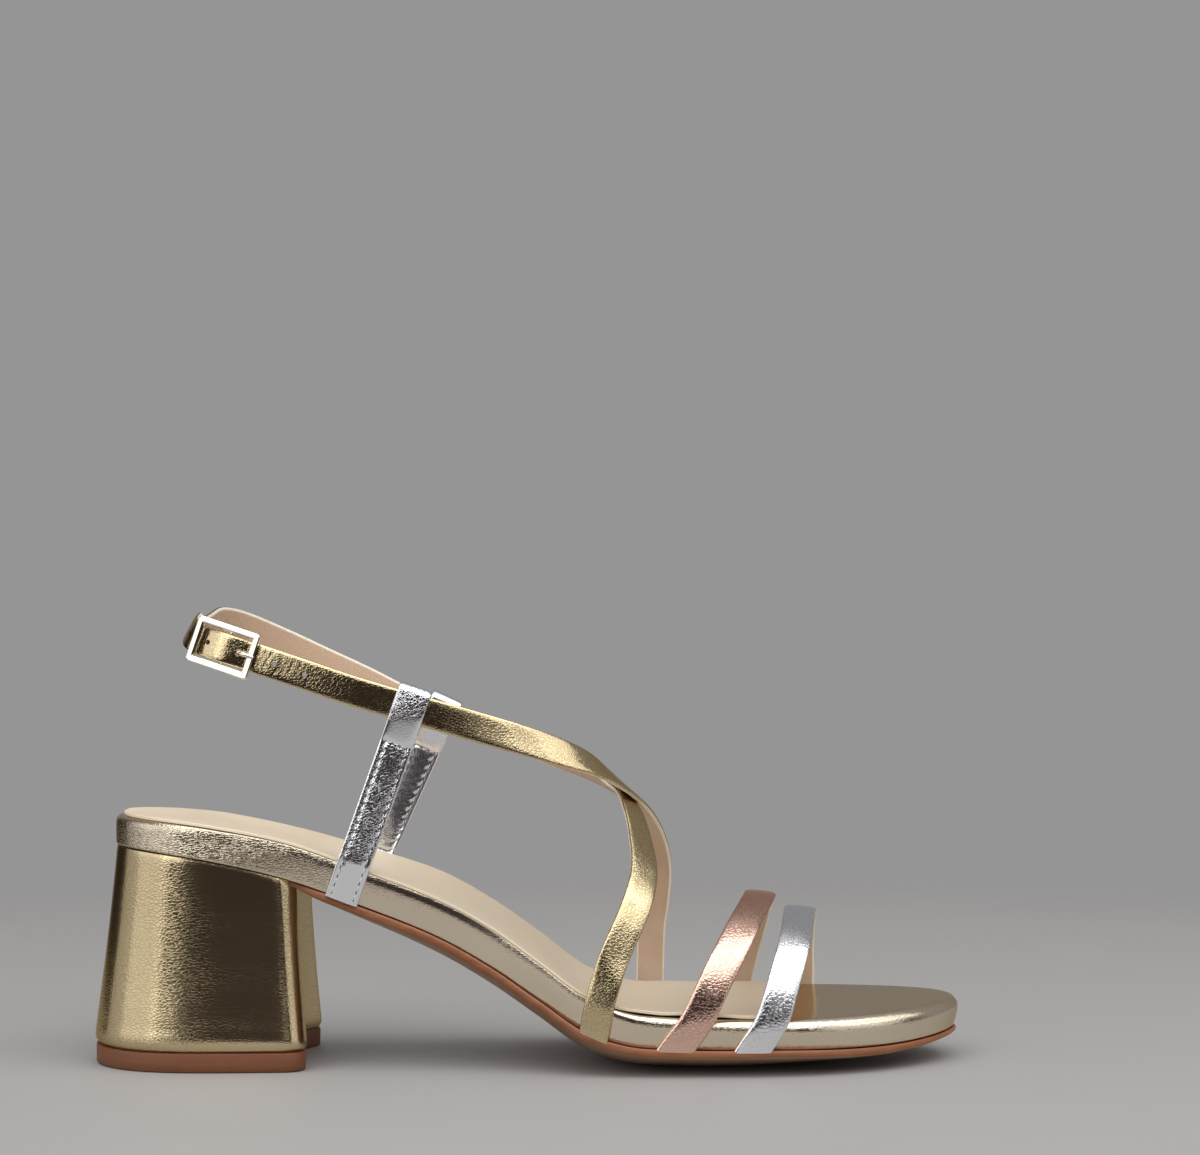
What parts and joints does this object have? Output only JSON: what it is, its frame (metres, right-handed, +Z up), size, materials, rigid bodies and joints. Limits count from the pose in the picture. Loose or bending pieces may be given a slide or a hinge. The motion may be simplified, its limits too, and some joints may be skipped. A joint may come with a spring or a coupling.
{
  "type": "strappy block-heel sandal",
  "caption": "Open women's sandal for the right foot: covered block heel, wrapped footbed, narrow metallic straps over the toes, crossed instep straps that run on to a buckled ankle strap.",
  "frame": {"origin": "on the floor, in the middle of the shoe's length and width", "axes": "+X towards the toe, +Y towards the medial side of the right foot, +Z up"},
  "size_m": [0.2406, 0.0796, 0.1257],
  "materials": {
    "gold_leather": "metallic foil with a fine crinkled grain",
    "platinum_leather": "pale metallic foil with a fine crinkled grain",
    "silver_leather": "silver metallic foil with a fine crinkled grain",
    "rose_leather": "rose metallic foil with a fine crinkled grain",
    "lining_leather": "plain matt lining leather",
    "sole_leather": "smooth stained sole leather with a polished edge",
    "tip_rubber": "satin tan rubber",
    "buckle_metal": "polished pale gold plating"
  },
  "bodies": {
    "root": {"heel_tip": "tip_rubber", "heel_block": "gold_leather", "outsole": "sole_leather", "footbed": "platinum_leather", "insole_sock": "lining_leather", "toe_strap": "silver_leather", "vamp_strap": "rose_leather", "cross_straps": "gold_leather", "lateral_loop": "silver_leather", "medial_loop": "silver_leather", "buckle_frame": "buckle_metal", "buckle_prong": "buckle_metal"}
  },
  "joints": []
}
